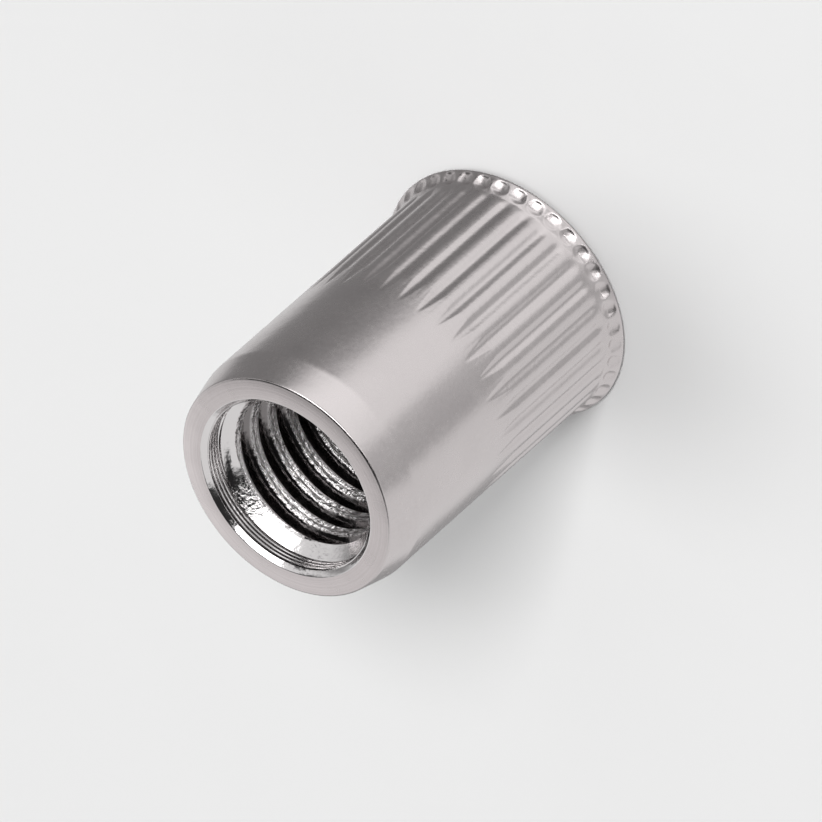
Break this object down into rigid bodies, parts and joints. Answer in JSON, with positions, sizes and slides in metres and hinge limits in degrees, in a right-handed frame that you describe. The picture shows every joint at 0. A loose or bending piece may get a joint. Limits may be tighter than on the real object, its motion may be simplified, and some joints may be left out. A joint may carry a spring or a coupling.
{
  "type": "rivet nut",
  "caption": "Open-end M8 rivet nut: a one-piece metal sleeve with an internal right-hand thread, a ribbed shank and a small toothed head, for putting a strong thread in thin sheet.",
  "frame": {"origin": "centre of the flat head face, which the nut stands on at z = 0", "axes": "+Z runs along the nut's axis from the head to the open, threaded end; X and Y lie in the head face"},
  "size_m": [0.0118, 0.0118, 0.016],
  "materials": {
    "satin_steel": "satin plated steel"
  },
  "bodies": {
    "root": {"rivet_nut": "satin_steel"}
  },
  "joints": []
}
